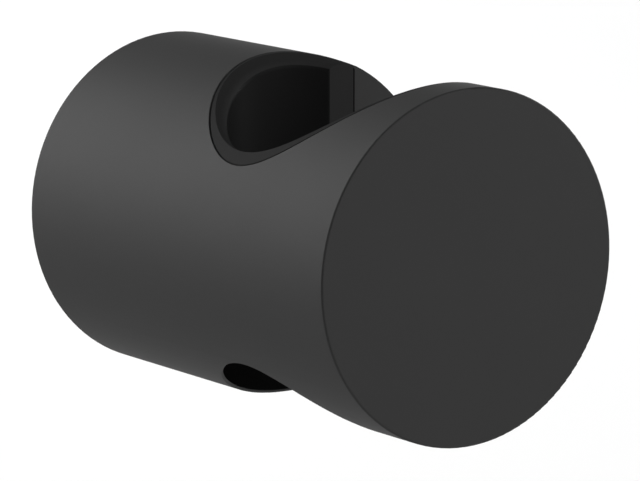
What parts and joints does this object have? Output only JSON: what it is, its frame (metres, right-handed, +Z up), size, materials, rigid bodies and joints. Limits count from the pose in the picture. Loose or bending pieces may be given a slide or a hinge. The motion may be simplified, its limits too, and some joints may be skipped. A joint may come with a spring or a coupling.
{
  "type": "hand shower holder",
  "caption": "Fixed wall holder for a hand shower: a round bar with an upright lined seat for the hose nut and a side mouth that lets the hose in.",
  "frame": {"origin": "centre of the bar's back end, on the wall", "axes": "+Y into the wall, so the bar stands out along -Y; +Z up, along the seat for the hose nut; +X towards the mouth that the hose goes in by"},
  "size_m": [0.035, 0.0512, 0.035],
  "materials": {
    "bar_finish": "matt black paint, very fine grain",
    "liner_plastic": "matt black moulded plastic",
    "bracket_metal": "turned, bare",
    "screw_steel": "plain stainless steel"
  },
  "bodies": {
    "root": {"holder_body": "bar_finish", "seat_liner": "liner_plastic", "wall_bracket": "bracket_metal", "set_screw": "screw_steel"}
  },
  "joints": []
}
